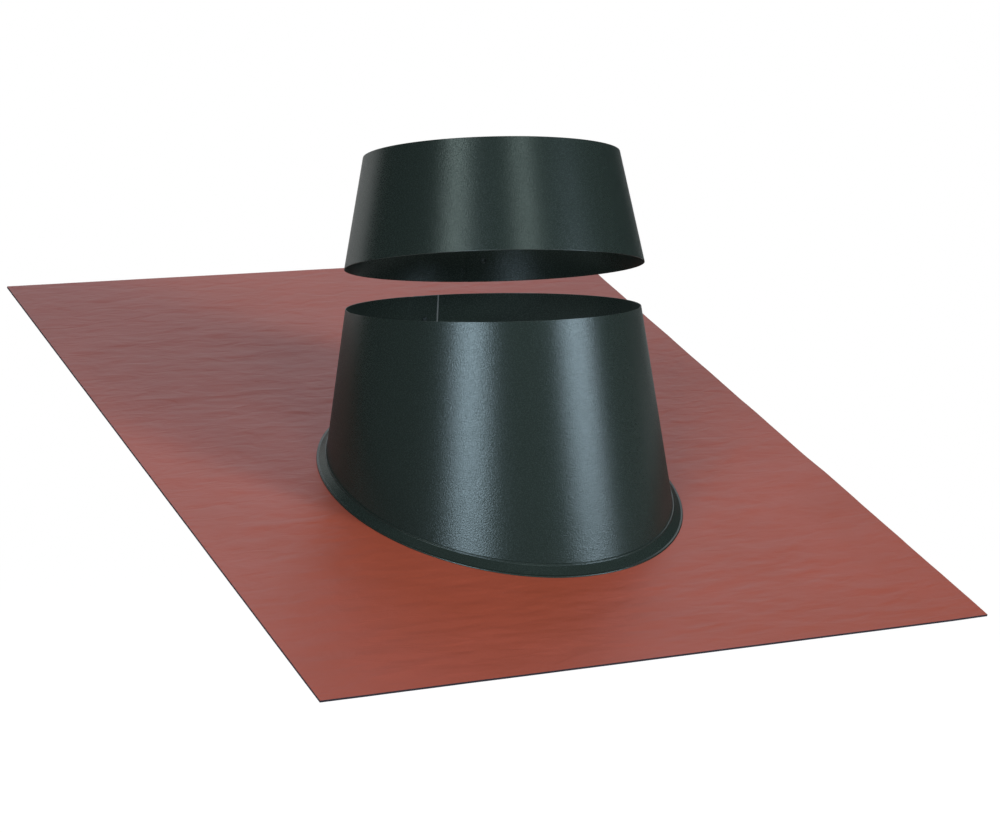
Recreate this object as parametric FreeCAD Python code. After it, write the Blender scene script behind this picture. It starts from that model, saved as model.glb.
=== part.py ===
import FreeCAD, Part
import os
from math import atan, cos, degrees, hypot, radians, sin, sqrt, tan

# Pipe flashing boot for a round flue through a pitched roof.
# Five kinds of piece: a flexible apron, a rolled cone, a bevelled base ring, a loose storm
# collar, and the blind rivets that close the two lap seams.
#
# Frame, as fitted on a roof: +Z runs up the plumb flue axis, +Y is uphill and +X is across
# the roof.  The origin is where the flue axis meets the apron's underside.

# --- driving dimensions, in millimetres and degrees ---

roof_pitch = 20.0           # slope of the roof that the boot is cut for

flue_r = 125.0              # the flue pipe that passes through
flue_clearance = 0.2        # between the flue and the mouth of the storm collar
sheet_t = 0.8               # powder-coated steel sheet of the cone and the collar

apron_w = 700.0             # across the roof
apron_downhill = 350.0      # from the flue axis to the lower edge, along the slope
apron_uphill = 505.0        # from the flue axis to the upper edge, along the slope
apron_offset = 8.0          # centre of the width, to the right of the flue axis
apron_t = 2.0               # flexible sheet with its backing
apron_corner_r = 1.5
apron_lip = 3.2             # height of the inner edge, turned up against the cone

cone_half_angle = 8.7       # between the cone's wall and its axis
cone_rim_r = 146.0          # outside, at the open top
cone_rim_z = 172.0          # plumb height of the open top

ring_t = 1.2                # pressed base ring
ring_reach = 9.0            # from the cone's wall to the ring's outer edge
ring_flat = 2.2             # flat hem that lies on the apron
ring_shoulder = 8.6         # where the bevel meets the upstand, above the apron's underside
ring_top = 10.2             # top edge of the upstand, above the apron's underside
ring_edge_h = 0.8           # rolled top edge of the upstand
ring_edge_proud = 0.4       # how far it stands out from the upstand

collar_h = 109.5            # along its own axis
collar_half_angle = 10.85   # between the collar's wall and its axis
collar_mouth_z = 321.0      # height of the mouth's centre, with the collar lifted clear
collar_tip = 10.85          # tilt of the loose collar, about the centre of its mouth
collar_heading = 67.0       # compass of that tilt, from +X towards +Y

lap_w = 29.0                # width of each riveted lap
lap_slit = 0.4              # hairline between the two edges of a flush lap
joggle_w = 7.0              # ramp where one edge of the sheet steps over the other
cone_seam_heading = 91.0    # middle of the cone's lap, on its uphill side
rivet_shank_r = 2.0
rivet_head_r = 4.0
rivet_head_h = 1.5
rivet_crown_r = 2.4         # flat top of the head
rivet_tip_r = 1.5           # blunt end of the tail
rivet_tail_gap = 0.05       # the flat tail stands this far off the hollow wall
rivet_tail_r = 2.9
rivet_tail_h = 1.8
rivet_from_rim = 25.0       # first rivet of the cone's lap, below the rim
rivet_pitch = 28.0
collar_rivet_from_rim = 20.0
collar_rivet_pitch = 34.0
rivets_per_lap = 3

# --- values that follow from them ---

PITCH = radians(roof_pitch)
UP = FreeCAD.Vector(0, 0, 1)
ORIGIN = FreeCAD.Vector(0, 0, 0)
HUGE = 2000.0
CONE_SLOPE = tan(radians(cone_half_angle))
COLLAR_SLOPE = tan(radians(collar_half_angle))
CONE_FOOT_Z = -1.2 * cone_rim_r
COLLAR_MOUTH_R = flue_r + flue_clearance + sheet_t / cos(radians(collar_half_angle))


# --- helpers for the roof plane ---

def on_slope(shape):
    """Turn a shape drawn on a level roof (X across, Y uphill, Z outward) on to the pitch."""
    turned = shape.copy()
    turned.rotate(ORIGIN, FreeCAD.Vector(1, 0, 0), roof_pitch)
    return turned


def slab(low, high):
    """Everything between two planes parallel to the roof, at these heights above its surface."""
    corner = FreeCAD.Vector(-HUGE / 2, -HUGE / 2, low)
    return on_slope(Part.makeBox(HUGE, HUGE, high - low, corner))


def cone_section(height, outward):
    """The ellipse in which a plane parallel to the roof cuts the cone, as a closed wire.

    outward grows both half axes, so the same form serves for every edge of the base ring.
    """
    apex = cone_rim_z + cone_rim_r / CONE_SLOPE
    reach = apex - height * cos(PITCH)
    k = cos(PITCH) ** 2 - (CONE_SLOPE * sin(PITCH)) ** 2
    b = sin(PITCH) * (CONE_SLOPE ** 2 * reach - height * cos(PITCH))
    c = (height * sin(PITCH)) ** 2 - (CONE_SLOPE * reach) ** 2
    half_across = sqrt(b * b / k - c)
    half_along = half_across / sqrt(k)
    centre = FreeCAD.Vector(0, -b / k, height)
    ellipse = Part.Ellipse(
        centre + FreeCAD.Vector(0, half_along + outward, 0),
        centre + FreeCAD.Vector(half_across + outward, 0, 0),
        centre,
    )
    return on_slope(Part.Wire(ellipse.toShape()))


def band(lower, upper):
    """Solid with straight sides between two cone sections, each one (height, outward)."""
    return Part.makeLoft([cone_section(*lower), cone_section(*upper)], True, True)


# --- helpers for the two rolled sheets ---

def conical_wall(rim_r, rim_z, low_z, slope, inset, thickness, start, sweep):
    """Part of a conical sheet: inset from the outer face, between two compass angles."""
    stretch = sqrt(1 + slope * slope)
    outer = rim_r - inset * stretch
    inner = outer - thickness * stretch
    widen = (rim_z - low_z) * slope
    corners = [
        FreeCAD.Vector(inner, 0, rim_z),
        FreeCAD.Vector(outer, 0, rim_z),
        FreeCAD.Vector(outer + widen, 0, low_z),
        FreeCAD.Vector(inner + widen, 0, low_z),
    ]
    face = Part.Face(Part.makePolygon(corners + [corners[0]]))
    face.rotate(ORIGIN, UP, start)
    return face.revolve(ORIGIN, UP, sweep)


def wall_quad(rim_r, rim_z, low_z, slope, inset, thickness, heading):
    """Section of the sheet in the plane through the axis at one compass angle."""
    stretch = sqrt(1 + slope * slope)
    outer = rim_r - inset * stretch
    inner = outer - thickness * stretch
    widen = (rim_z - low_z) * slope
    corners = [
        FreeCAD.Vector(inner, 0, rim_z),
        FreeCAD.Vector(outer, 0, rim_z),
        FreeCAD.Vector(outer + widen, 0, low_z),
        FreeCAD.Vector(inner + widen, 0, low_z),
    ]
    wire = Part.makePolygon(corners + [corners[0]])
    wire.rotate(ORIGIN, UP, heading)
    return wire


def rolled_sheet(rim_r, rim_z, low_z, slope, seam_heading, lap_inset):
    """A sheet rolled into a cone and lapped on itself.

    The wall stays flush on one side, and the buried edge steps to the other side over a
    short ramp.  lap_inset is where the second layer lies: +sheet_t inside, -sheet_t outside.
    """
    arc = degrees(1.0 / rim_r)
    first = seam_heading - lap_w * arc / 2
    last = seam_heading + lap_w * arc / 2
    slit = lap_slit * arc
    ramp = joggle_w * arc
    wall = conical_wall(rim_r, rim_z, low_z, slope, 0, sheet_t, last + slit, 360 - slit)
    layer = conical_wall(
        rim_r, rim_z, low_z, slope, lap_inset, sheet_t, first, last + 2 * slit - first
    )
    foot = wall_quad(rim_r, rim_z, low_z, slope, lap_inset, sheet_t, last + 2 * slit)
    head = wall_quad(rim_r, rim_z, low_z, slope, 0, sheet_t, last + 2 * slit + ramp)
    joggle = Part.makeLoft([foot, head], True, True)
    return wall.fuse([layer, joggle]).removeSplitter().Solids[0]


def blind_rivet(grip):
    """A blind rivet along +X: domed head outside (x > 0), shank, and the set tail inside.

    x = 0 is the outer face of the joint and grip is the thickness that it holds.
    """
    along = FreeCAD.Vector(1, 0, 0)
    tail_x = -grip - rivet_tail_gap
    shank = Part.makeCylinder(rivet_shank_r, -tail_x, FreeCAD.Vector(tail_x, 0, 0), along)
    head = Part.makeCone(rivet_head_r, rivet_crown_r, rivet_head_h, ORIGIN, along)
    tail = Part.makeCone(
        rivet_tail_r, rivet_tip_r, rivet_tail_h, FreeCAD.Vector(tail_x, 0, 0), -along
    )
    return shank.fuse([head, tail]).removeSplitter().Solids[0]


def seam_points(rim_r, rim_z, slope, outset, from_rim, spacing):
    """Radius and height of each rivet on a seam, at this distance out from the wall."""
    lean = atan(slope)
    points = []
    for i in range(rivets_per_lap):
        z = rim_z - from_rim - i * spacing
        r = rim_r + (rim_z - z) * slope
        points.append((r + outset * cos(lean), z + outset * sin(lean)))
    return points


def seam_pieces(tool, points, slope, heading):
    """A copy of tool, drawn along +X, square to the wall at each point of a seam."""
    pieces = []
    for r, z in points:
        piece = tool.copy()
        piece.rotate(ORIGIN, FreeCAD.Vector(0, 1, 0), -degrees(atan(slope)))
        piece.translate(FreeCAD.Vector(r, 0, z))
        piece.rotate(ORIGIN, UP, heading)
        pieces.append(piece)
    return pieces


def riveted(sheet, points, slope, heading):
    """Punch the rivet holes through a lap, and set a rivet in each one."""
    along = FreeCAD.Vector(1, 0, 0)
    punch = Part.makeCylinder(rivet_shank_r, 20, FreeCAD.Vector(-10, 0, 0), along)
    punched = sheet.cut(seam_pieces(punch, points, slope, heading)).Solids[0]
    return punched, seam_pieces(blind_rivet(2 * sheet_t), points, slope, heading)


# --- the pieces ---

def cone_envelope(outset, low, high):
    """Solid cone that stands outset from the cone's wall, between two roof-parallel planes."""
    grow = outset * sqrt(1 + CONE_SLOPE ** 2)
    height = cone_rim_z - CONE_FOOT_Z
    foot_r = cone_rim_r + grow + height * CONE_SLOPE
    foot = FreeCAD.Vector(0, 0, CONE_FOOT_Z)
    body = Part.makeCone(foot_r, cone_rim_r + grow, height, foot)
    return body.common(slab(low, high))


def make_cone():
    """Rolled, lapped and riveted cone, its foot cut flush with the apron's underside."""
    sheet = rolled_sheet(
        cone_rim_r, cone_rim_z, CONE_FOOT_Z, CONE_SLOPE, cone_seam_heading, sheet_t
    ).common(slab(0, HUGE))
    points = seam_points(
        cone_rim_r, cone_rim_z, CONE_SLOPE, 0, rivet_from_rim, rivet_pitch
    )
    return riveted(sheet, points, CONE_SLOPE, cone_seam_heading)


def make_apron():
    """Flexible apron with its inner edge folded up against the foot of the cone."""
    corner = FreeCAD.Vector(apron_offset - apron_w / 2, -apron_downhill, 0)
    plate = Part.makeBox(apron_w, apron_downhill + apron_uphill, apron_t, corner)
    uprights = [e for e in plate.Edges if abs(e.tangentAt(e.FirstParameter).z) > 0.9]
    plate = on_slope(plate.makeFillet(apron_corner_r, uprights))
    lip = cone_envelope(apron_t, 0, apron_t + apron_lip)
    return plate.fuse(lip).removeSplitter().cut(cone_envelope(0, -1, HUGE / 4))


def make_base_ring():
    """Pressed ring: hem on the apron, bevel, upstand round the cone and a proud top edge."""
    hem_top = apron_t + ring_t
    bevel_foot = ring_reach - ring_flat
    run = bevel_foot - ring_t
    rise = ring_shoulder - hem_top
    slant = hypot(run, rise)
    inner_wall = bevel_foot - ring_t * rise / slant
    inner_z = hem_top - ring_t * run / slant
    hollow_foot = inner_wall + (inner_z - apron_t) * run / rise
    hollow_top = inner_z + inner_wall * rise / run
    edge_low = ring_top - ring_edge_h
    hem = band((apron_t, ring_reach), (hem_top, ring_reach))
    bevel = band((hem_top, bevel_foot), (ring_shoulder, ring_t))
    upstand = band((ring_shoulder, ring_t), (ring_top, ring_t))
    edge = band((edge_low, ring_t + ring_edge_proud), (ring_top, ring_t + ring_edge_proud))
    hollow = band((apron_t, hollow_foot), (hollow_top, 0.0))
    pressed = hem.fuse([bevel, upstand, edge]).cut(hollow)
    return pressed.cut(cone_envelope(0, -1, HUGE / 4)).removeSplitter()


def place_collar(shape):
    """Lift the collar clear of the cone and tip it about the middle of its mouth."""
    heading = radians(collar_heading)
    placed = shape.copy()
    placed.rotate(ORIGIN, FreeCAD.Vector(-sin(heading), cos(heading), 0), collar_tip)
    placed.translate(FreeCAD.Vector(0, 0, collar_mouth_z))
    return placed


def make_storm_collar():
    """Loose rolled collar, drawn with its mouth at z = 0 and then lifted into place."""
    sheet = rolled_sheet(
        COLLAR_MOUTH_R, 0.0, -collar_h, COLLAR_SLOPE, collar_heading, -sheet_t
    )
    points = seam_points(
        COLLAR_MOUTH_R, 0.0, COLLAR_SLOPE, sheet_t, collar_rivet_from_rim, collar_rivet_pitch
    )
    collar, rivets = riveted(sheet, points, COLLAR_SLOPE, collar_heading)
    return place_collar(collar), [place_collar(rivet) for rivet in rivets]


def export(pieces):
    os.makedirs("parts", exist_ok=True)
    for node, shape in pieces.items():
        shape.exportStep("parts/%s.step" % node)
        facts = (node, shape.isValid(), len(shape.Solids), shape.Volume / 1000)
        print("%-14s valid %s, solids %d, %.1f cm3" % facts)


def main():
    cone, cone_rivets = make_cone()
    storm_collar, collar_rivets = make_storm_collar()
    export({
        "apron": make_apron(),
        "cone": cone,
        "base_ring": make_base_ring(),
        "storm_collar": storm_collar,
        "rivets": Part.makeCompound(cone_rivets + collar_rivets),
    })


main()
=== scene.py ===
# %% [markdown]
# # A pipe flashing boot for a pitched roof
# A flue pipe that leaves a roof needs a skirt that keeps the rain out.  This one is a soft,
# brick-red apron that is dressed on to the roof covering, a black powder-coated steel cone cut
# to the roof's pitch, a pressed ring over the joint between the two, and a loose storm collar
# that slides down the pipe.  The solids are already made and packed.  This script dresses
# them: it makes the wrinkled apron, the rolled sheets with their lap seams, the pressed ring,
# the rivets and the finishes, and it sets light and camera.

# %% Load the solid model
import bmesh
import bpy
from math import atan, atan2, copysign, cos, pi, radians, sin, sqrt, tan
from mathutils import Euler, Matrix, Vector


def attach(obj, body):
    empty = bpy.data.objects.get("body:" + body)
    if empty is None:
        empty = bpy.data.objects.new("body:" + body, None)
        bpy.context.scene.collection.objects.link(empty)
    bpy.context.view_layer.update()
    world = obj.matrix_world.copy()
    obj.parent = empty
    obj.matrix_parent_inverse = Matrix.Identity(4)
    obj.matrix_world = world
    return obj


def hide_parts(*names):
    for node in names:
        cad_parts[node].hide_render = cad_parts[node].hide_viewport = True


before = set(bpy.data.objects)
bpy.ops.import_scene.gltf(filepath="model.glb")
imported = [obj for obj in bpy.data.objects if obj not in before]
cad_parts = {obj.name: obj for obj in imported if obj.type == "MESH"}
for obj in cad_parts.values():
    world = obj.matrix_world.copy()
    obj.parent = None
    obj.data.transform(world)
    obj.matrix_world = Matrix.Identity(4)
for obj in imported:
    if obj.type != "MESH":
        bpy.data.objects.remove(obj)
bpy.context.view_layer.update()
print("solid pieces:", ", ".join(sorted(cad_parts)))

# %% [markdown]
# ## Sizes
# Every size is in metres, in the same frame as the solids: +Z runs up the flue, +Y is uphill,
# and the origin is where the flue axis meets the apron's underside.  A slope here is the run
# outward for each unit of drop, and a heading is an angle round the flue axis, from +X.

# %% Sizes
MM = 0.001
PITCH = radians(20)
SHEET = 0.8 * MM
HAIR = 0.02 * MM                    # left between touching faces, so that none coincide

APRON_WIDTH = 700 * MM
APRON_DOWNHILL = 350 * MM
APRON_UPHILL = 505 * MM
APRON_OFFSET = 8 * MM
APRON_THICK = 2 * MM
APRON_LIP = 3.2 * MM

CONE_SLOPE = tan(radians(8.7))
CONE_RIM_RADIUS = 146 * MM
CONE_RIM_Z = 172 * MM
CONE_SEAM = radians(91)

COLLAR_LEAN = radians(10.85)
COLLAR_SLOPE = tan(COLLAR_LEAN)
COLLAR_INSIDE_RADIUS = 125.2 * MM   # just free of a 250 mm flue
COLLAR_MOUTH_RADIUS = COLLAR_INSIDE_RADIUS + SHEET / cos(COLLAR_LEAN)
COLLAR_MOUTH_Z = 321 * MM
COLLAR_HEIGHT = 109.5 * MM
COLLAR_TIP = radians(10.85)
COLLAR_HEADING = radians(67)
print("apron %.0f x %.0f mm" % (APRON_WIDTH * 1000, (APRON_DOWNHILL + APRON_UPHILL) * 1000))

# %% [markdown]
# ## Small helpers
# Colours are written as the hex values that a paint chart or a screen shows.  Those are
# gamma-coded, and Cycles computes with linear light, so one function turns them over.  Another
# adds a node with its settings and its links in one call, which keeps the node trees below
# short enough to read.  The ramp is the node that they use most: it turns one range of values
# into another.

# %% Helpers
def linear(hex_colour):
    """A '#RRGGBB' colour as the linear RGBA that Blender computes with."""
    channels = [int(hex_colour[i:i + 2], 16) / 255 for i in (1, 3, 5)]
    return tuple(c / 12.92 if c <= 0.04045 else ((c + 0.055) / 1.055) ** 2.4
                 for c in channels) + (1.0,)


def add(tree, kind, inputs=None, **settings):
    """Add a node, set its properties, then fill its inputs with values or with links."""
    node = tree.nodes.new(kind)
    for name, value in settings.items():
        setattr(node, name, value)
    for key, value in (inputs or {}).items():
        if isinstance(value, bpy.types.NodeSocket):
            tree.links.new(value, node.inputs[key])
        else:
            node.inputs[key].default_value = value
    return node


def ramp(tree, value, start, end, low=0.0, high=1.0, smooth=False):
    """Map start..end on to low..high, and hold the two end values outside that range."""
    return add(tree, "ShaderNodeMapRange", {
        "Value": value, "From Min": start, "From Max": end, "To Min": low, "To Max": high},
        interpolation_type="SMOOTHSTEP" if smooth else "LINEAR").outputs["Result"]


def calc(tree, operation, *values):
    """One Math node; values are numbers or sockets."""
    return add(tree, "ShaderNodeMath", dict(enumerate(values)), operation=operation).outputs[0]


def product(tree, first, *others):
    """Numbers or sockets multiplied one after another."""
    for other in others:
        first = calc(tree, "MULTIPLY", first, other)
    return first


def new_material(name):
    """A material with an empty node tree, and that tree."""
    material = bpy.data.materials.new(name)
    material.use_nodes = True
    material.node_tree.nodes.clear()
    return material, material.node_tree


def put_in_scene(name, data):
    """A new object of this data, linked to the scene."""
    thing = bpy.data.objects.new(name, data)
    bpy.context.scene.collection.objects.link(thing)
    return thing


print("mid grey in linear light: %.3f" % linear("#808080")[0])

# %% [markdown]
# ## Camera
# A long lens from a low stand, a little to the left of the downhill edge.  The boot leans with
# the roof, so a low camera already looks well down on the apron.

# %% Camera
camera_data = bpy.data.cameras.new("camera")
camera_data.sensor_width = 36
camera_data.lens = 106.166
camera = put_in_scene("camera", camera_data)
camera.location = (-1.33893, -2.57140, 0.45634)
camera.rotation_euler = Euler((radians(82.2644), radians(0.6784), radians(-27.7036)), "XYZ")
bpy.context.scene.camera = camera
print("camera stands %.2f m from the flue axis" % camera.location.to_2d().length)

# %% [markdown]
# ## Materials
# The cone, ring and collar are steel with a baked polyester powder coat.  The powder melts
# and flows only partly before it sets, so the film keeps a fine sandy grain about a millimetre
# wide.  That grain breaks a lamp's reflection into a soft satin band with a sparkle in it.  Seen
# at a slant the film looks duller, because its grains shade one another.

# %% Powder coat
SPARKLE = 0.07                      # change of roughness from grain to grain, up or down
SLANT_DULLING = 0.25                # roughness gained where the film is seen at a slant


def powder_coat(name, colour, roughness, grain_mm, grain_depth_mm):
    """Satin polyester powder coat with a fine sandy grain, duller where seen at a slant."""
    material, tree = new_material(name)
    place = add(tree, "ShaderNodeTexCoord").outputs["Object"]
    grain = add(tree, "ShaderNodeTexNoise", {
        "Vector": place, "Scale": 1 / (grain_mm * MM), "Detail": 2.0, "Roughness": 0.6})
    bump = add(tree, "ShaderNodeBump", {
        "Height": grain.outputs["Fac"], "Strength": 1.0, "Distance": grain_depth_mm * MM})
    sparkle = add(tree, "ShaderNodeTexNoise", {
        "Vector": place, "Scale": 1.3 / (grain_mm * MM), "Detail": 1.0})
    gloss = ramp(tree, sparkle.outputs["Fac"], 0.3, 0.7, roughness - SPARKLE,
                 roughness + SPARKLE)
    slant = add(tree, "ShaderNodeLayerWeight", {"Blend": 0.5}).outputs["Facing"]
    dull = ramp(tree, slant, 0.35, 0.9, 0.0, SLANT_DULLING, smooth=True)
    rough = add(tree, "ShaderNodeMath", {0: gloss, 1: dull}, operation="ADD", use_clamp=True)
    shader = add(tree, "ShaderNodeBsdfPrincipled", {
        "Base Color": linear(colour), "Roughness": rough.outputs[0],
        "Normal": bump.outputs["Normal"], "IOR": 1.5, "Specular IOR Level": 0.28,
        "Specular Tint": linear("#E4FFFB")})
    add(tree, "ShaderNodeOutputMaterial", {"Surface": shader.outputs["BSDF"]})
    return material


# A baked polyester powder film on steel sheet, and the smooth lacquer of a bought rivet.
black_coat = powder_coat("black polyester powder coat", "#1B231F", 0.26, 1.3, 0.155)
rivet_coat = powder_coat("lacquered steel rivet", "#1C2221", 0.30, 1.2, 0.04)
print("coats:", black_coat.name, "and", rivet_coat.name)

# %% [markdown]
# The strip is coated first and sheared afterwards, so the free edge of the cone's lap shows
# bare steel: a dull grey with the fine lines that the shear's blades leave.  That pale grey also
# runs over a narrow strip of the inner face, where it is a painted highlight: a light line along
# the lap that no lamp lays there.

# %% Bare sheared steel, also a painted highlight
SHEAR_LINE = MM / 1.5
SHEAR_GLOSS = 0.1                   # change of roughness from line to line, up or down


def painted_highlight_metal(name, colour, roughness):
    """Sheared steel that no coat covers, with the fine lines of the shear; its pale colour is
    also a painted highlight.
    """
    material, tree = new_material(name)
    place = add(tree, "ShaderNodeTexCoord").outputs["Object"]
    lines = add(tree, "ShaderNodeTexNoise", {
        "Vector": place, "Scale": 1 / SHEAR_LINE, "Detail": 2.0})
    gloss = ramp(tree, lines.outputs["Fac"], 0.0, 1.0, roughness - SHEAR_GLOSS,
                 roughness + SHEAR_GLOSS)
    shader = add(tree, "ShaderNodeBsdfPrincipled", {
        "Base Color": linear(colour), "Metallic": 0.2, "Roughness": gloss})
    add(tree, "ShaderNodeOutputMaterial", {"Surface": shader.outputs["BSDF"]})
    return material


# Cold-rolled steel where a guillotine has cut it, pale enough to be a painted highlight line
# along the lap.
pale_steel_painted_highlight = painted_highlight_metal("sheared steel edge as painted highlight", "#565D5A", 0.5)
print("bare metal:", pale_steel_painted_highlight.name)

# %% [markdown]
# The apron is a soft metal mesh inside a rubbery skin, calendered between rollers and rolled up
# for sale.  It takes a low sheen, and the skin is pressed into fine crinkles across its width,
# deeper uphill of the cone than downhill.  Only the top is coloured: the cut edges and the
# underside show the dark, matt backing.  The roof's own direction tells the two apart.

# %% Brick-red sheet
CRINKLES_PER_METRE = (26, 80, 1)    # across the sheet, up it and through it
CRINKLE_DOWNHILL = 0.55 * MM
CRINKLE_UPHILL = 1.0 * MM
CRINKLE_CHANGE = 120 * MM           # half the length over which one depth becomes the other
SKIN_GRAIN = MM / 0.9
CLOUD = 200 * MM                    # width of the faint patches in the colour
BACKING_FACING, TOP_FACING = 0.35, 0.6      # cosines of the angle to the roof's own normal


def red_sheet(name):
    """Rubber-skinned flashing sheet: a crinkled brick-red top on a dark, matt backing."""
    material, tree = new_material(name)
    place = add(tree, "ShaderNodeTexCoord").outputs["Object"]
    on_roof = add(tree, "ShaderNodeMapping", {
        "Vector": place, "Rotation": (-PITCH, 0, 0)}, vector_type="POINT").outputs["Vector"]

    lay = add(tree, "ShaderNodeMapping", {
        "Vector": on_roof, "Scale": CRINKLES_PER_METRE}, vector_type="POINT")
    crinkle = add(tree, "ShaderNodeTexNoise", {
        "Vector": lay.outputs["Vector"], "Scale": 1.0, "Detail": 2.6, "Roughness": 0.5,
        "Distortion": 0.7})
    uphill = add(tree, "ShaderNodeSeparateXYZ", {0: on_roof}).outputs["Y"]
    depth = ramp(tree, uphill, -CRINKLE_CHANGE, CRINKLE_CHANGE, CRINKLE_DOWNHILL,
                 CRINKLE_UPHILL, smooth=True)
    crinkled = add(tree, "ShaderNodeBump", {
        "Height": crinkle.outputs["Fac"], "Strength": 1.0, "Distance": depth})
    skin = add(tree, "ShaderNodeTexNoise", {
        "Vector": place, "Scale": 1 / SKIN_GRAIN, "Detail": 2.0})
    grained = add(tree, "ShaderNodeBump", {
        "Height": skin.outputs["Fac"], "Strength": 0.6, "Distance": 0.08 * MM,
        "Normal": crinkled.outputs["Normal"]})

    cloud = add(tree, "ShaderNodeTexNoise", {
        "Vector": on_roof, "Scale": 1 / CLOUD, "Detail": 4.0, "Roughness": 0.6})
    shade = add(tree, "ShaderNodeValToRGB", {"Fac": cloud.outputs["Fac"]})
    for stop, position, colour in zip(shade.color_ramp.elements, (0.35, 0.68),
                                      ("#813B25", "#873F2B")):
        stop.position = position
        stop.color = linear(colour)

    facing = add(tree, "ShaderNodeVectorMath", {
        0: add(tree, "ShaderNodeNewGeometry").outputs["True Normal"],
        1: (0, -sin(PITCH), cos(PITCH))}, operation="DOT_PRODUCT").outputs["Value"]
    is_top = ramp(tree, facing, BACKING_FACING, TOP_FACING)
    colour = add(tree, "ShaderNodeMix", {
        "Factor": is_top, "A": linear("#150E0C"), "B": shade.outputs["Color"]},
        data_type="RGBA")
    shader = add(tree, "ShaderNodeBsdfPrincipled", {
        "Base Color": colour.outputs["Result"], "Normal": grained.outputs["Normal"],
        "Roughness": ramp(tree, is_top, 0.0, 1.0, 0.95, 0.48),
        "IOR": 1.5, "Specular IOR Level": 0.52, "Specular Tint": linear("#CDDCFF")})
    add(tree, "ShaderNodeOutputMaterial", {"Surface": shader.outputs["BSDF"]})
    return material


# A calendered polymer skin, pigmented brick red, over an aluminium mesh.
brick_sheet = red_sheet("brick red flashing sheet")
print("sheet:", brick_sheet.name)

# %% [markdown]
# ## The apron
# The sheet is drawn flat, as it is cut: rings of points run from the oval hole out to the
# straight edges, so that both outlines are exact.  The hole is the ellipse in which the roof
# plane cuts the cone, and the sheet's inner edge turns up against the cone there.

# %% Where a roof-parallel plane cuts the cone
def cone_section(height):
    """Centre (uphill) and half axes (across, uphill) of the cone's section at this height."""
    apex = CONE_RIM_Z + CONE_RIM_RADIUS / CONE_SLOPE
    reach = apex - height * cos(PITCH)
    k = cos(PITCH) ** 2 - (CONE_SLOPE * sin(PITCH)) ** 2
    b = sin(PITCH) * (CONE_SLOPE ** 2 * reach - height * cos(PITCH))
    c = (height * sin(PITCH)) ** 2 - (CONE_SLOPE * reach) ** 2
    across = sqrt(b * b / k - c)
    return -b / k, across, across / sqrt(k)


def on_oval(angle, height, outward):
    """A point outward of the cone's section at this height, in flat roof coordinates."""
    centre, across, uphill = cone_section(height)
    return Vector(((across + outward) * cos(angle), centre + (uphill + outward) * sin(angle),
                   height))


hole_centre, hole_across, hole_uphill = cone_section(APRON_THICK)
print("hole about %.0f x %.0f mm, centred %.1f mm uphill"
      % (hole_across * 2000, hole_uphill * 2000, hole_centre * 1000))

# %% [markdown]
# Every sheet here is a thin closed shell.  Its cross-section is a small closed outline, and a
# row of such outlines, bridged with quads, gives the piece.  Sheared and pressed edges are
# never sharp, so each corner of an outline is rounded a little before it is swept: that round
# is what catches the light as a fine bright line.

# %% Round an outline, and bridge a row of outlines
NEARLY_HALF = 0.45                  # two rounds on one short side may not meet
LONG_SIDE = 5                       # in radii of the round


def softened(outline, radius, cuts=2):
    """Round each corner of a closed outline of (height, outward) pairs.

    A long side gets a point close to each of its rounds, so that its shading stays flat.
    """
    rounded = []
    for i, corner in enumerate(outline):
        here = Vector(corner)
        to_last = Vector(outline[i - 1]) - here
        to_next = Vector(outline[(i + 1) % len(outline)]) - here
        start = here + to_last.normalized() * min(radius, to_last.length * NEARLY_HALF)
        end = here + to_next.normalized() * min(radius, to_next.length * NEARLY_HALF)
        if to_last.length > LONG_SIDE * radius:
            rounded.append(start + to_last.normalized() * radius * 0.5)
        for j in range(cuts + 1):
            t = j / cuts
            rounded.append(start * (1 - t) ** 2 + here * 2 * t * (1 - t) + end * t * t)
        if to_next.length > LONG_SIDE * radius:
            rounded.append(end + to_next.normalized() * radius * 0.5)
    return rounded


def bridge(name, outlines, closed):
    """A mesh object through a row of equal outlines; an open row gets its two ends closed."""
    size = len(outlines[0])
    rows = len(outlines)
    points = [point for outline in outlines for point in outline]
    faces = []
    for i in range(rows if closed else rows - 1):
        a, b = i * size, (i + 1) % rows * size
        faces += [(a + j, a + (j + 1) % size, b + (j + 1) % size, b + j) for j in range(size)]
    if not closed:
        faces.append(tuple(reversed(range(size))))
        faces.append(tuple((rows - 1) * size + j for j in range(size)))
    mesh = bpy.data.meshes.new(name)
    mesh.from_pydata(points, [], faces)
    mesh.validate()
    shell = bmesh.new()
    shell.from_mesh(mesh)
    bmesh.ops.recalc_face_normals(shell, faces=shell.faces)
    shell.to_mesh(mesh)
    shell.free()
    return put_in_scene(name, mesh)


def shade_sheet(piece, material, degrees_sharp=40):
    """Smooth shading, kept crisp where two faces meet at more than this angle."""
    mesh = piece.data
    mesh.materials.clear()
    mesh.materials.append(material)
    mesh.shade_smooth()
    mesh.set_sharp_from_angle(angle=radians(degrees_sharp))
    print("%s: %d faces" % (piece.name, len(mesh.polygons)))


print("a square outline gets %d points" % len(softened([(0, 0), (0, 1), (1, 1), (1, 0)], 0.1)))

# %% [markdown]
# The wrinkles further on lie about 15 mm apart, so the sheet needs points at less than half
# that distance.  Rings spread from the hole, a little closer together there, and each point of
# the straight edges gets one outline across the sheet.

# %% The apron's outlines
PERIMETER_STEP = 6.6 * MM
RINGS = 95
RING_SPREAD = 1.08                  # 1 would space the rings evenly


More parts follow.
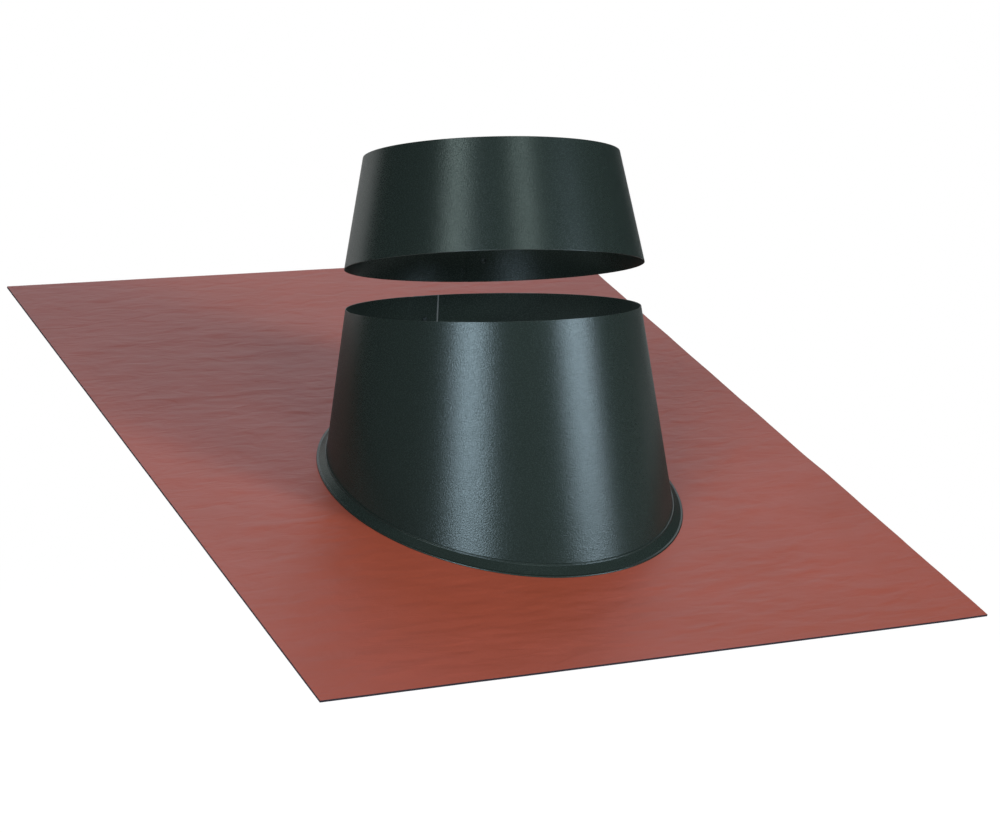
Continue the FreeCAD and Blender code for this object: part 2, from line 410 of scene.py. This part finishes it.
def sheet_perimeter():
    """Points along the sheet's straight edges, corners included."""
    left, right = APRON_OFFSET - APRON_WIDTH / 2, APRON_OFFSET + APRON_WIDTH / 2
    corners = [Vector((right, -APRON_DOWNHILL)), Vector((right, APRON_UPHILL)),
               Vector((left, APRON_UPHILL)), Vector((left, -APRON_DOWNHILL))]
    points = []
    for i, corner in enumerate(corners):
        side = corners[(i + 1) % 4] - corner
        steps = round(side.length / PERIMETER_STEP)
        points += [corner + side * (j / steps) for j in range(steps)]
    return points


def apron_outline(edge):
    """Cross-section of the apron from its turned-up lip out to one point of its edge."""
    centre, across, uphill = cone_section(0)
    angle = atan2((edge.y - centre) / uphill, edge.x / across)
    lip_top = APRON_THICK + APRON_LIP
    lip = [on_oval(angle, 0, HAIR), on_oval(angle, lip_top, HAIR),
           on_oval(angle, lip_top, APRON_THICK), on_oval(angle, APRON_THICK, APRON_THICK)]
    rim = Vector((edge.x, edge.y, APRON_THICK))
    top = [lip[-1].lerp(rim, (k / RINGS) ** RING_SPREAD) for k in range(1, RINGS + 1)]
    under = [Vector((p.x, p.y, 0)) for p in reversed(top)]
    return lip + top + under


flat_apron = bridge("apron_sheet", [apron_outline(p) for p in sheet_perimeter()], True)
print("flat apron: %d faces" % len(flat_apron.data.polygons))

# %% [markdown]
# The sheet comes off a roll, and then it is folded into its box.  That leaves fine wrinkles
# that all run across the width, broad low swells, two faint fold lines, and a right-hand edge
# that no longer lies quite flat.  Geometry Nodes fit here, because the whole shape follows one
# rule: the height of each point is noise that has been stretched across the sheet.  The same
# move lifts the top and the underside, so that the sheet keeps its thickness.  It fades out
# near the base ring and near the straight edges.

# %% How the apron lies
APRON_LIE = {
    "Wrinkle height": 1.0 * MM, "Wrinkle spacing": 15 * MM, "Wrinkle length": 44 * MM,
    "Swell height": 1.3 * MM, "Fold height": 0.5 * MM, "Fold width": 3.0 * MM,
    "Uphill fold": 219 * MM, "Downhill fold": -51 * MM, "Edge wave": 0.9 * MM,
    "Pitch": PITCH, "Seed": 3.0}
SWELL_LENGTH, SWELL_SPACING = 160 * MM, 70 * MM
FOLD_PATCH, WAVE_LENGTH = 60 * MM, 75 * MM
FOLD_EVEN, WAVE_EVEN = 400 * MM, 900 * MM   # so long that the noise hardly changes that way
FOLD_FLOOR = 0.8                    # share of a fold's height that the noise is added to
WRINKLE_LAYER, SWELL_LAYER, FOLD_LAYER, WAVE_LAYER = 0.0, 5.0, 9.0, 14.0
FLAT_BY_RING, FREE_OF_RING = 1.055, 1.22    # distances out, in half axes of the hole
EDGE_FADE = 30 * MM
EDGE_SHARE = 0.15                   # of the lift, kept at the very edge
WAVY_STRIP = 45 * MM                # width of the right-hand margin that waves
WAVY_FROM, WAVY_TO = 20 * MM, -90 * MM      # the edge starts to stand up, and stands fully
WAVY_LEAST = 0.2                    # share of that rise that is left uphill


def noise(tree, seed, x, s, detail, layer):
    """Noise from -1 to 1; x and s count its cells, and each layer is a slice of its own."""
    at = add(tree, "ShaderNodeCombineXYZ", {"X": x, "Y": s, "Z": layer}).outputs[0]
    field = add(tree, "ShaderNodeTexNoise", {
        "Vector": at, "W": seed, "Scale": 1.0, "Detail": detail, "Roughness": 0.5},
        noise_dimensions="4D").outputs[0]
    return product(tree, calc(tree, "SUBTRACT", field, 0.5), 2.0)


def fold_ridge(tree, s, centre, width):
    """A soft ridge of height 1 across the sheet, where s comes near to centre."""
    off = calc(tree, "DIVIDE", calc(tree, "SUBTRACT", s, centre), width)
    return calc(tree, "EXPONENT", product(tree, off, off, -1.0))


def creases(tree, given, x, s):
    """Height of the wrinkles, swells and folds at (x, s), s being the way uphill."""
    def stretched(length, spacing, detail, layer):
        return noise(tree, given["Seed"], calc(tree, "DIVIDE", x, length),
                     calc(tree, "DIVIDE", s, spacing), detail, layer)

    wrinkle = product(tree, stretched(given["Wrinkle length"], given["Wrinkle spacing"], 2.0,
                                      WRINKLE_LAYER), given["Wrinkle height"])
    swell = product(tree, stretched(SWELL_LENGTH, SWELL_SPACING, 1.0, SWELL_LAYER),
                    given["Swell height"])
    ridges = calc(tree, "ADD", *(fold_ridge(tree, s, given[fold], given["Fold width"])
                                 for fold in ("Uphill fold", "Downhill fold")))
    patchy = calc(tree, "ADD", FOLD_FLOOR,
                  stretched(FOLD_PATCH, FOLD_EVEN, 2.0, FOLD_LAYER))
    folds = product(tree, ridges, given["Fold height"], patchy)
    return calc(tree, "ADD", calc(tree, "ADD", wrinkle, swell), folds)


def edge_fade(tree, x, s):
    """1 over most of the sheet, 0 by the base ring and little at the straight edges."""
    centre, across, uphill = cone_section(0)
    out = add(tree, "ShaderNodeCombineXYZ", {
        "X": calc(tree, "DIVIDE", x, across),
        "Y": calc(tree, "DIVIDE", calc(tree, "SUBTRACT", s, centre), uphill)}).outputs[0]
    ovals = add(tree, "ShaderNodeVectorMath", {0: out}, operation="LENGTH").outputs["Value"]
    near_ring = ramp(tree, ovals, FLAT_BY_RING, FREE_OF_RING, smooth=True)
    gaps = []
    for way, low, high in ((x, APRON_OFFSET - APRON_WIDTH / 2, APRON_OFFSET + APRON_WIDTH / 2),
                           (s, -APRON_DOWNHILL, APRON_UPHILL)):
        from_middle = calc(tree, "ABSOLUTE", calc(tree, "SUBTRACT", way, (low + high) / 2))
        gaps.append(calc(tree, "SUBTRACT", (high - low) / 2, from_middle))
    near_edge = ramp(tree, calc(tree, "MINIMUM", *gaps), 0.0, EDGE_FADE, EDGE_SHARE,
                     smooth=True)
    return product(tree, near_ring, near_edge)


def edge_wave(tree, given, x, s):
    """Height of the wave along the right-hand edge, which stands up most low down."""
    right = APRON_OFFSET + APRON_WIDTH / 2
    at_right = ramp(tree, x, right - WAVY_STRIP, right, smooth=True)
    low_down = ramp(tree, s, WAVY_FROM, WAVY_TO, WAVY_LEAST, smooth=True)
    wave = noise(tree, given["Seed"], calc(tree, "DIVIDE", x, WAVE_EVEN),
                 calc(tree, "DIVIDE", s, WAVE_LENGTH), 1.0, WAVE_LAYER)
    return product(tree, calc(tree, "ADD", low_down, wave), at_right, given["Edge wave"])


print("apron lies with wrinkles of %.1f mm" % (APRON_LIE["Wrinkle height"] * 1000))


# %% Settle the apron
def crinkle_tree(material):
    """Lift each point of the flat sheet, then lean the sheet on to the roof's pitch."""
    tree = bpy.data.node_groups.new("apron crinkle", "GeometryNodeTree")
    tree.interface.new_socket("Sheet", in_out="INPUT", socket_type="NodeSocketGeometry")
    for name in APRON_LIE:
        tree.interface.new_socket(name, in_out="INPUT", socket_type="NodeSocketFloat")
    tree.interface.new_socket("Sheet", in_out="OUTPUT", socket_type="NodeSocketGeometry")
    given = add(tree, "NodeGroupInput").outputs
    place = add(tree, "GeometryNodeInputPosition").outputs[0]
    axes = add(tree, "ShaderNodeSeparateXYZ", {"Vector": place}).outputs
    x, s = axes["X"], axes["Y"]
    lift = product(tree, creases(tree, given, x, s), edge_fade(tree, x, s))
    lift = calc(tree, "ADD", lift, edge_wave(tree, given, x, s))
    moved = add(tree, "GeometryNodeSetPosition", {
        "Geometry": given["Sheet"],
        "Offset": add(tree, "ShaderNodeCombineXYZ", {"Z": lift}).outputs[0]})
    leant = add(tree, "GeometryNodeTransform", {
        "Geometry": moved.outputs[0],
        "Rotation": add(tree, "ShaderNodeCombineXYZ", {"X": given["Pitch"]}).outputs[0]})
    joined = add(tree, "GeometryNodeRealizeInstances", {"Geometry": leant.outputs[0]})
    dressed = add(tree, "GeometryNodeSetMaterial", {
        "Geometry": joined.outputs[0], "Material": material})
    add(tree, "NodeGroupOutput", {"Sheet": dressed.outputs[0]})
    return tree


def settle(piece, tree, inputs, name):
    """Run a node tree on a piece, and keep the result as a piece with a plain mesh."""
    modifier = piece.modifiers.new(tree.name, "NODES")
    modifier.node_group = tree
    for item in tree.interface.items_tree:
        if item.item_type == "SOCKET" and item.in_out == "INPUT" and item.name in inputs:
            modifier[item.identifier] = inputs[item.name]
    graph = bpy.context.evaluated_depsgraph_get()
    mesh = bpy.data.meshes.new_from_object(piece.evaluated_get(graph), depsgraph=graph)
    piece.modifiers.remove(modifier)
    mesh.name = name
    bpy.data.objects.remove(piece)
    return put_in_scene(name, mesh)


apron = settle(flat_apron, crinkle_tree(brick_sheet), APRON_LIE, "apron_skin")
shade_sheet(apron, brick_sheet, 45)

# %% [markdown]
# ## The cone and the collar
# Both are one strip of steel sheet, cut as a fan, rolled round and riveted along a lap.  The
# buried edge is joggled: it steps aside by the sheet's thickness over a few millimetres, so
# that one face of the seam stays flush.  The path below follows the strip from its buried edge
# round to its free one, and at each station it lays the strip's thin cross-section.  The shear
# leaves a small burr on the buried edge, which bends it out a little.

# %% The rolled strip
LAP = 29 * MM
SLIT = 0.4 * MM
JOGGLE = 7 * MM
EDGE_SOFT = 0.22 * MM
BURR = 0.35 * MM
BURR_REACH = 2.5 * MM               # how far from the edge the burr's bend begins
BURR_LEFT = 0.3                     # share of the burr's height at the bare margin's end
# Width of the bare steel margin on the inner face, whose pale colour is a painted highlight.
PAINTED_HIGHLIGHT_MARGIN = 1.4 * MM
LAP_STEPS = 8
ROUND_STEPS = 240
LONG_SPAN = 15                      # in radii of the soft edge
WALL_ROWS = 6


def strip_stations(rim_radius, seam_heading, lap_inset):
    """Heading and inset of each station along a lapped strip, from buried edge to free edge."""
    arc = 1 / rim_radius
    first, last = seam_heading - LAP * arc / 2, seam_heading + LAP * arc / 2
    step_start = last + 2 * SLIT * arc
    step_end = step_start + JOGGLE * arc
    flare = copysign(BURR, lap_inset)
    bend = first + BURR_REACH * arc
    stations = [(first, lap_inset + flare),
                (first + PAINTED_HIGHLIGHT_MARGIN * arc, lap_inset + BURR_LEFT * flare)]
    stations += [(bend + (step_start - bend) * i / LAP_STEPS, lap_inset)
                 for i in range(LAP_STEPS + 1)]
    for i in range(1, LAP_STEPS):
        t = i / LAP_STEPS
        stations.append((step_start + (step_end - step_start) * t,
                         lap_inset * (1 - t * t * (3 - 2 * t))))
    end = last + 2 * pi
    stations += [(step_end + (end - step_end) * i / ROUND_STEPS, 0)
                 for i in range(ROUND_STEPS + 1)]
    return stations


def strip_section(length):
    """Closed outline of the sheet seen edge-on, as (along, inset) pairs.

    Along runs from 0 at the sheet's top to length at its foot.
    """
    rounded = softened([(0, 0), (0, SHEET), (length, SHEET), (length, 0)], EDGE_SOFT)
    outline = []
    for i, point in enumerate(rounded):
        outline.append(point)
        following = rounded[(i + 1) % len(rounded)]
        if abs(following[0] - point[0]) > LONG_SPAN * EDGE_SOFT:
            outline += [point.lerp(following, k / WALL_ROWS) for k in range(1, WALL_ROWS)]
    return outline


def lay_strip(name, rim_radius, rim_z, slope, seam_heading, lap_inset, foot_at):
    """A rolled strip whose wall leans outward by slope; foot_at gives its lower end."""
    lean = atan(slope)
    outlines = []
    for heading, inset in strip_stations(rim_radius, seam_heading, lap_inset):
        outline = []
        for along, depth in strip_section((rim_z - foot_at(heading)) / cos(lean)):
            inward = depth + inset
            radius = rim_radius + along * sin(lean) - inward * cos(lean)
            height = rim_z - along * cos(lean) - inward * sin(lean)
            outline.append(Vector((radius * cos(heading), radius * sin(heading), height)))
        outlines.append(outline)
    return bridge(name, outlines, False)


print("rim of the cone rolls out to %.0f mm" % (2 * pi * CONE_RIM_RADIUS * 1000))

# %% [markdown]
# The cone's wall ends where it meets the sloping roof plane, so its strip is long downhill and
# short uphill.  The buried edge of its lap lies inside, where it shows through the open top, and
# the first quads of the strip are that edge's bare steel margin; their pale colour is a painted
# highlight along the lap.

# %% Roll the cone
def roof_foot(heading):
    """Height at which the cone's wall meets the roof plane, on this heading."""
    rise = sin(heading) * tan(PITCH)
    return (CONE_RIM_RADIUS + CONE_RIM_Z * CONE_SLOPE) * rise / (1 + CONE_SLOPE * rise)


cone = lay_strip("cone_sheet", CONE_RIM_RADIUS, CONE_RIM_Z, CONE_SLOPE, CONE_SEAM,
                 SHEET + HAIR, roof_foot)
shade_sheet(cone, black_coat)
cone.data.materials.append(pale_steel_painted_highlight)
# The first ring of faces takes the pale steel: a painted highlight along the lap's buried edge.
painted_highlight_faces = len(strip_section(1))
for face in cone.data.polygons[:painted_highlight_faces]:
    face.material_index = 1
print("bare margin: %d faces" % painted_highlight_faces)

# %% [markdown]
# The collar is flush inside, where it slides on the flue, so its buried edge steps outward.  It
# is rolled with its mouth at the origin, then tipped and lifted to where it hangs.

# %% Roll the collar
collar = lay_strip("collar_sheet", COLLAR_MOUTH_RADIUS, 0, COLLAR_SLOPE, COLLAR_HEADING,
                   -SHEET - HAIR, lambda heading: -COLLAR_HEIGHT)
tip_axis = Vector((-sin(COLLAR_HEADING), cos(COLLAR_HEADING), 0))
collar_place = (Matrix.Translation((0, 0, COLLAR_MOUTH_Z))
                @ Matrix.Rotation(COLLAR_TIP, 4, tip_axis))
collar.data.transform(collar_place)
shade_sheet(collar, black_coat)

# %% [markdown]
# ## The base ring
# A pressed steel ring hides the joint of cone and apron and clamps the apron's lip.  From the
# outside in it has a flat hem, a bevel that sheds the water, a short upstand round the cone,
# and a top edge that stands slightly proud.  Each of those edges is the cone's own section at
# that height, grown outward, so one small profile swept round the oval gives the piece.

# %% Base ring
# Sizes of the profile: gap is what it leaves to the cone, from grip up; inside is how far
# the underside of the bevel lies within its top.
RING = dict(reach=9.0 * MM, hem=2.2 * MM, shoulder=8.6 * MM, top=10.2 * MM, edge=0.8 * MM,
            proud=0.4 * MM, thick=1.2 * MM, gap=0.03 * MM, grip=8.0 * MM, inside=0.5 * MM)
RING_SOFT = 0.3 * MM
RING_STEPS = 240


def ring_profile():
    """Closed outline of the pressed ring, as (height, outward from the cone) pairs."""
    foot = APRON_THICK
    hem_top = foot + RING["thick"]
    bevel_foot = RING["reach"] - RING["hem"]
    edge_foot = RING["top"] - RING["edge"]
    proud = RING["thick"] + RING["proud"]
    return [(foot, RING["reach"]), (hem_top, RING["reach"]), (hem_top, bevel_foot),
            (RING["shoulder"], RING["thick"]), (edge_foot, RING["thick"]),
            (edge_foot, proud), (RING["top"], proud), (RING["top"], RING["gap"]),
            (RING["grip"], RING["gap"]), (foot, bevel_foot - RING["inside"])]


def lean_on_roof(point):
    """Flat roof coordinates to the plumb frame."""
    return Matrix.Rotation(PITCH, 4, "X") @ point


ring_outlines = []
for i in range(RING_STEPS):
    turn = 2 * pi * i / RING_STEPS
    ring_outlines.append([lean_on_roof(on_oval(turn, height, outward))
                          for height, outward in softened(ring_profile(), RING_SOFT)])
ring = bridge("base_ring_pressing", ring_outlines, True)
shade_sheet(ring, black_coat, 50)

# %% [markdown]
# ## The rivets
# Each lap is closed with three blind rivets: a low domed head with the mandrel's eye outside,
# and a set tail inside.  One rivet is drawn as a profile and turned about its own axis.

# %% One rivet
GRIP = 2 * SHEET
HEAD_RADIUS = 4 * MM
HEAD_HEIGHT = 1.5 * MM
HEAD_EDGE = 0.3 * MM                # height of the rim under the dome
EYE_RADIUS = 1.2 * MM               # hole that the mandrel was pulled through
SHANK_RADIUS = 1.98 * MM
SEAT_RADIUS = 3.85 * MM             # the head's flat underside
DOME_STEPS = 6
RIVET_SIDES = 24
TAIL_MM = ((-1.85, 0.9), (-1.7, 1.9), (-0.9, 2.8), (-0.25, 2.9), (-0.05, 2.6))
EYE_MM = ((0, 1.15), (-0.1, 0.95), (-0.7, 0.85), (-0.75, 0.3))


def turned(name, profile, sides):
    """A shape turned about +X from (x, radius) pairs, closed flat at both ends."""
    outlines = [[Vector((x, r * cos(2 * pi * i / sides), r * sin(2 * pi * i / sides)))
                 for i in range(sides)] for x, r in profile]
    return bridge(name, outlines, False)


rivet_profile = [(-GRIP + x * MM, r * MM) for x, r in TAIL_MM]
rivet_profile += [(-GRIP - 0.05 * MM, SHANK_RADIUS), (0, SHANK_RADIUS), (0, SEAT_RADIUS),
                  (HEAD_EDGE, HEAD_RADIUS)]
for k in range(1, DOME_STEPS):
    swing = pi / 2 * k / DOME_STEPS
    rivet_profile.append((HEAD_EDGE + (HEAD_HEIGHT - HEAD_EDGE) * sin(swing),
                          EYE_RADIUS + (HEAD_RADIUS - EYE_RADIUS) * cos(swing)))
rivet_profile += [(HEAD_HEIGHT + x * MM, r * MM) for x, r in EYE_MM]
rivet_pattern = turned("rivet_pattern", rivet_profile, RIVET_SIDES)
shade_sheet(rivet_pattern, rivet_coat, 50)

# %% [markdown]
# A node tree sets copies of that rivet along the two seams.  Geometry Nodes fit here too: each
# seam is a start, a step and a turn, and the same few nodes serve both.  The turn leans each
# rivet so that it sits square on its wall.

# %% Set the rivets along both seams
RIVETS_PER_SEAM = 3
CONE_RIVETS = (25 * MM, 28 * MM)    # from the rim to the first, and from one to the next
COLLAR_RIVETS = (20 * MM, 34 * MM)


def seam_line(rim_radius, rim_z, slope, heading, outset, from_rim, pitch):
    """Start, step and turn of a seam's rivets, which sit outset from the sheet's face."""
    lean = atan(slope)
    radius = rim_radius + from_rim * slope + outset * cos(lean)
    height = rim_z - from_rim + outset * sin(lean)
    across = Vector((cos(heading), sin(heading), 0))
    start = across * radius + Vector((0, 0, height))
    step = across * (pitch * slope) - Vector((0, 0, pitch))
    turn = Matrix.Rotation(heading, 4, "Z") @ Matrix.Rotation(-lean, 4, "Y")
    return start, step, turn


def rivet_tree(pattern, material):
    """Copies of the pattern in a row along each seam; the seat only carries the modifier."""
    tree = bpy.data.node_groups.new("rivets along the seams", "GeometryNodeTree")
    tree.interface.new_socket("Seat", in_out="INPUT", socket_type="NodeSocketGeometry")
    tree.interface.new_socket("Per seam", in_out="INPUT", socket_type="NodeSocketInt")
    for seam in ("Cone", "Collar"):
        for part in ("start", "step", "turn"):
            tree.interface.new_socket("%s %s" % (seam, part), in_out="INPUT",
                                      socket_type="NodeSocketVector")
    tree.interface.new_socket("Rivets", in_out="OUTPUT", socket_type="NodeSocketGeometry")
    given = add(tree, "NodeGroupInput").outputs
    source = add(tree, "GeometryNodeObjectInfo", {"Object": pattern}).outputs["Geometry"]
    both = add(tree, "GeometryNodeJoinGeometry")
    for seam in ("Cone", "Collar"):
        line = add(tree, "GeometryNodeMeshLine", {
            "Count": given["Per seam"], "Start Location": given["%s start" % seam],
            "Offset": given["%s step" % seam]})
        copies = add(tree, "GeometryNodeInstanceOnPoints", {
            "Points": line.outputs[0], "Instance": source,
            "Rotation": given["%s turn" % seam]})
        tree.links.new(copies.outputs[0], both.inputs[0])
    real = add(tree, "GeometryNodeRealizeInstances", {"Geometry": both.outputs[0]})
    dressed = add(tree, "GeometryNodeSetMaterial", {
        "Geometry": real.outputs[0], "Material": material})
    add(tree, "NodeGroupOutput", {"Rivets": dressed.outputs[0]})
    return tree


cone_start, cone_step, cone_turn = seam_line(
    CONE_RIM_RADIUS, CONE_RIM_Z, CONE_SLOPE, CONE_SEAM, 0, *CONE_RIVETS)
collar_start, collar_step, collar_turn = seam_line(
    COLLAR_MOUTH_RADIUS, 0, COLLAR_SLOPE, COLLAR_HEADING, SHEET, *COLLAR_RIVETS)
rivet_inputs = {"Per seam": RIVETS_PER_SEAM,
                "Cone start": cone_start, "Cone step": cone_step,
                "Cone turn": Vector(cone_turn.to_euler()),
                "Collar start": collar_place @ collar_start,
                "Collar step": collar_place.to_3x3() @ collar_step,
                "Collar turn": Vector((collar_place @ collar_turn).to_euler())}
seat = put_in_scene("rivet_seat", bpy.data.meshes.new("rivet_seat"))
rivets = settle(seat, rivet_tree(rivet_pattern, rivet_coat), rivet_inputs, "seam_rivets")
bpy.data.objects.remove(rivet_pattern)
shade_sheet(rivets, rivet_coat, 50)

# %% [markdown]
# ## Which solid each piece stands for
# Every dressed piece rides on the one rigid body and hides the plain solid that it stands for.

# %% Hand the pieces over
for piece, node, slot in ((apron, "apron", "apron_sheet"), (cone, "cone", "black_powder_coat"),
                          (ring, "base_ring", "black_powder_coat"),
                          (collar, "storm_collar", "black_powder_coat"),
                          (rivets, "rivets", "rivet_steel")):
    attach(piece, "root")
    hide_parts(node)
    print(piece.name, "stands for", node)

# %% [markdown]
# ## Floor, surroundings and lamps
# The boot is shown on plain white.  The floor lies well below it.  It is white to the camera
# and in reflections, and a small share of it is an ordinary matt surface, so that it still
# takes the object's soft shadow.

# %% Floor
FLOOR_Z = -0.55
FLOOR_HALF = 30
SHADOW_SHARE = 0.08                 # of the paper's whiteness that is lit and not glowing
SHADOW_NEAR, SHADOW_FAR = 1.2, 3.0  # the share fades out between these distances


def seen_ray(tree):
    """1 for a ray from the camera, a reflection or a transmission; 0 for one that lights."""
    path = add(tree, "ShaderNodeLightPath").outputs
    return calc(tree, "MAXIMUM", path["Is Camera Ray"], calc(
        tree, "MAXIMUM", path["Is Glossy Ray"], path["Is Transmission Ray"]))


def floor_paper():
    """White paper: a plain glow to the camera, and a matt share that holds the shadow."""
    material, tree = new_material("white studio paper")
    seen = seen_ray(tree)
    place = add(tree, "ShaderNodeTexCoord").outputs["Object"]
    away = add(tree, "ShaderNodeVectorMath", {0: place}, operation="LENGTH").outputs["Value"]
    hold = product(tree, ramp(tree, away, SHADOW_NEAR, SHADOW_FAR, 1.0, 0.0, smooth=True),
                   SHADOW_SHARE)
    glow = add(tree, "ShaderNodeEmission", {
        "Color": linear("#FFFFFF"),
        "Strength": product(tree, seen, calc(tree, "SUBTRACT", 1.0, hold))})
    shade = add(tree, "ShaderNodeMix", {
        "Factor": seen, "A": 0.8, "B": product(tree, hold, 2.0)}, data_type="FLOAT")
    matt = add(tree, "ShaderNodeBsdfDiffuse", {"Color": shade.outputs[0]})
    both = add(tree, "ShaderNodeAddShader", {0: glow.outputs[0], 1: matt.outputs[0]})
    add(tree, "ShaderNodeOutputMaterial", {"Surface": both.outputs[0]})
    return material


floor_mesh = bpy.data.meshes.new("floor")
floor_mesh.from_pydata([(x * FLOOR_HALF, y * FLOOR_HALF, FLOOR_Z)
                        for x, y in ((-1, -1), (1, -1), (1, 1), (-1, 1))], [], [(0, 1, 2, 3)])
# A seamless roll of studio paper.
floor_mesh.materials.append(floor_paper())
floor = put_in_scene("floor", floor_mesh)
print("floor lies at %.2f m" % FLOOR_Z)

# %% [markdown]
# The surroundings are white in the same way: full white where a ray sees them, and only a dim
# fill where they light the object, so that the lamps decide the shading.

# %% Surroundings
AMBIENT = 0.2

world = bpy.data.worlds.new("white surroundings")
bpy.context.scene.world = world
world.use_nodes = True
sky = world.node_tree
sky.nodes.clear()
fill, white = (add(sky, "ShaderNodeBackground", {
    "Color": linear("#FFFFFF"), "Strength": strength}).outputs[0] for strength in (AMBIENT, 1.0))
shown = add(sky, "ShaderNodeMixShader", {0: seen_ray(sky), 1: fill, 2: white})
add(sky, "ShaderNodeOutputWorld", {"Surface": shown.outputs[0]})
print("fill light %.1f" % AMBIENT)

# %% [markdown]
# A dark satin cone shows its lamps as upright bands, one for each lamp, so the lamps that shape
# it are tall soft strips: two low ones for the bands on the cone, and two high ones for the
# bands on the tipped collar.  A weak softbox behind gives the uphill part of the apron its
# sheen.  The last lamp is small and does not show in reflections: it is the key that lays the
# cone's soft shadow on the apron, uphill and to the left.

# %% Lamps
VIEW_HEADING = 242.6                # degrees; where the camera stands, seen from the flue
LAMP_DISTANCE = 4.5
LAMP_AIM = Vector((0, 0, 0.1))


def lamp(name, side, elevation, wide, high, strength, colour="#FFFFFF"):
    """A soft strip, placed by its angle to the right of the camera and its height angle.

    wide and high are its angles in degrees as the object sees it, and strength is how bright
    its face looks beside white paper.
    """
    data = bpy.data.lights.new(name, "AREA")
    data.shape = "RECTANGLE"
    data.size = 2 * LAMP_DISTANCE * tan(radians(wide / 2))
    data.size_y = 2 * LAMP_DISTANCE * tan(radians(high / 2))
    data.energy = strength * pi * data.size * data.size_y
    data.color = linear(colour)[:3]
    strip = put_in_scene(name, data)
    heading, rise = radians(VIEW_HEADING + side), radians(elevation)
    out = Vector((cos(rise) * cos(heading), cos(rise) * sin(heading), sin(rise)))
    strip.location = LAMP_AIM + out * LAMP_DISTANCE
    strip.rotation_euler = out.to_track_quat("Z", "Y").to_euler()
    strip.visible_camera = False
    print("%s: %.1f x %.1f m, %d W" % (name, data.size, data.size_y, data.energy))
    return strip


lamp("low left strip", -17, 13, 20, 18, 22, "#E6EBFF")
lamp("low right strip", 64, 12, 22, 18, 19, "#E6EBFF")
lamp("high left strip", -35, 38, 15, 16, 8)
lamp("high right strip", 29, 38, 13, 16, 6.5)
lamp("back softbox", 178, 52, 44, 30, 1.15, "#F0F2FF")
lamp("shadow key", 66, 14, 8, 8, 60).visible_glossy = False

# %% [markdown]
# White surroundings alone would turn the whole coat grey between the bands.  A dark curtain
# round the camera's side, with a sheet overhead, gives it something black to reflect.  Only
# reflections see it: it neither shows, nor shades, nor takes light from the object.

# %% Black curtain
CURTAIN_STEPS = 32


def curtain(distance, first, last, low, high):
    """A dark felt curtain from heading first to last beside the camera, and a felt sheet over
    the whole set at the curtain's top."""
    points, faces = [], []
    for i in range(CURTAIN_STEPS + 1):
        heading = radians(VIEW_HEADING + first + (last - first) * i / CURTAIN_STEPS)
        points += [(distance * cos(heading), distance * sin(heading), z) for z in (low, high)]
    for i in range(CURTAIN_STEPS):
        faces.append((2 * i, 2 * i + 1, 2 * i + 3, 2 * i + 2))
    points += [(x * distance, y * distance, high)
               for x, y in ((-1, -1), (1, -1), (1, 1), (-1, 1))]
    faces.append(tuple(range(len(points) - 4, len(points))))
    mesh = bpy.data.meshes.new("curtain")
    mesh.from_pydata(points, [], faces)
    # Matt wool felt, dyed black.
    material, tree = new_material("black stage felt")
    felt = add(tree, "ShaderNodeBsdfDiffuse", {"Color": linear("#181818")})
    add(tree, "ShaderNodeOutputMaterial", {"Surface": felt.outputs[0]})
    mesh.materials.append(material)
    cloth = put_in_scene("curtain", mesh)
    cloth.visible_camera = False
    cloth.visible_diffuse = False
    cloth.visible_shadow = False
    print("curtain of %d panels" % len(faces))


curtain(7.0, -126, 158, -0.6, 9.0)

# %% [markdown]
# ## Finish

# %% Colour management
scene = bpy.context.scene
scene.view_settings.view_transform = "Standard"
